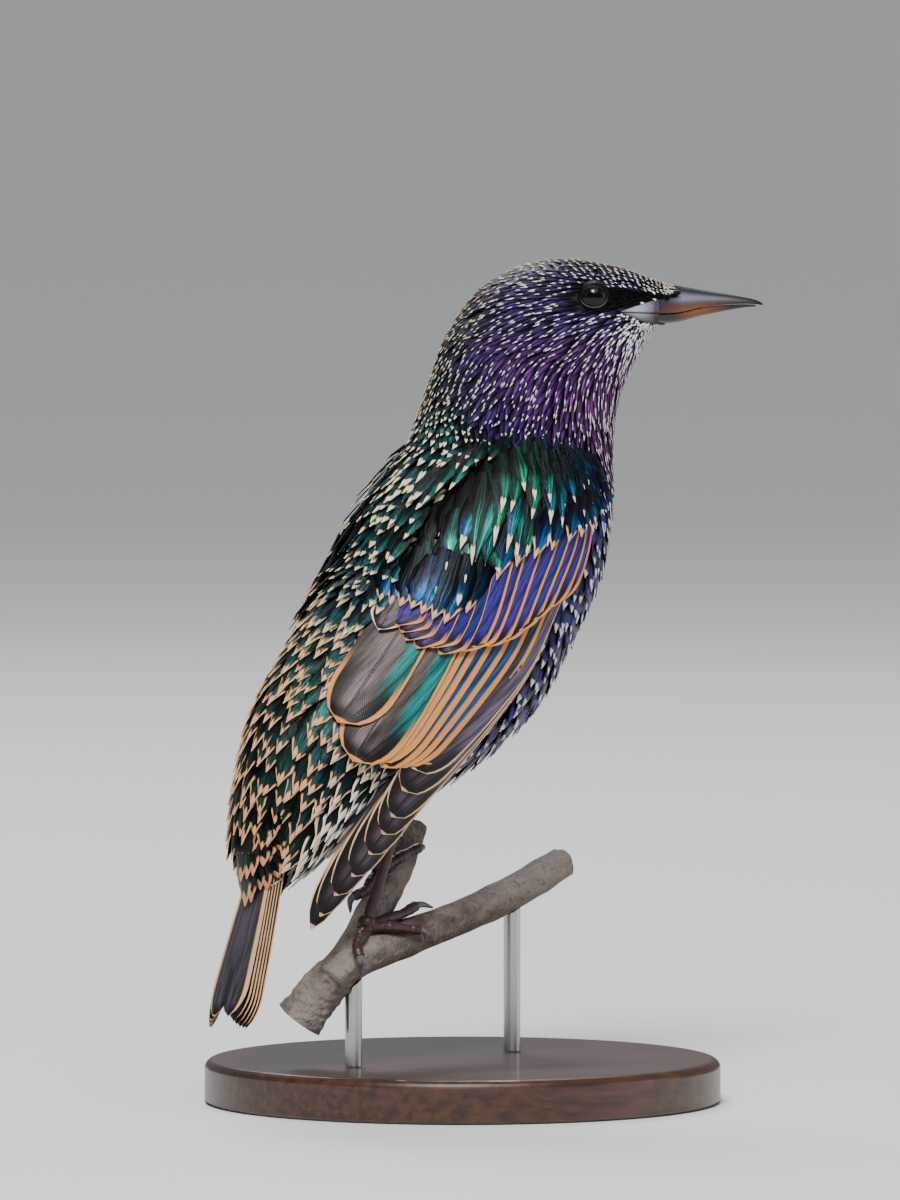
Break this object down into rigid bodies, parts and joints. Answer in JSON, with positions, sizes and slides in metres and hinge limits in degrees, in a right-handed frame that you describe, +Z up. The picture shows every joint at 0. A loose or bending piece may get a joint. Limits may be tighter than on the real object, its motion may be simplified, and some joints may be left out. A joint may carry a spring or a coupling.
{
  "type": "starling museum model",
  "caption": "Life-size still model of a speckled starling perched on a short forked branch over a plain round display base.",
  "frame": {"origin": "centre of the underside of the round display base", "axes": "+Z up, +X the way the body faces, +Y the bird's left; the head is turned towards its right (-Y)"},
  "size_m": [0.1337, 0.12, 0.1954],
  "materials": {
    "plumage_head": "glossy purple-black feathers with small pale tips",
    "plumage_neck": "narrow purple hackles with whitish points",
    "plumage_body": "glossy green and blue feathers with cream and white tips",
    "tail_feathers": "dark grey feathers with buff outer edges",
    "wing_feathers": "dark feathers glossed blue and green with orange-buff edges",
    "bill_upper_horn": "smooth dark grey horn",
    "bill_lower_horn": "smooth grey horn, browner at the root",
    "eye": "wet, very dark brown",
    "leg_scales": "scaly reddish-brown skin",
    "foot_scales": "scaly reddish-brown skin with grey claws",
    "bark": "rough grey-brown bark",
    "base_wood": "dark satin wood",
    "rod_steel": "plain round steel rod"
  },
  "bodies": {
    "root": {"head": "plumage_head", "neck": "plumage_neck", "torso": "plumage_body", "tail": "tail_feathers", "wing_right": "wing_feathers", "wing_left": "wing_feathers", "bill_upper": "bill_upper_horn", "bill_lower": "bill_lower_horn", "eye_right": "eye", "eye_left": "eye", "leg_right": "leg_scales", "leg_left": "leg_scales", "foot_right": "foot_scales", "foot_left": "foot_scales", "perch": "bark", "stand_base": "base_wood", "stand_rod_front": "rod_steel", "stand_rod_rear": "rod_steel"}
  },
  "joints": []
}
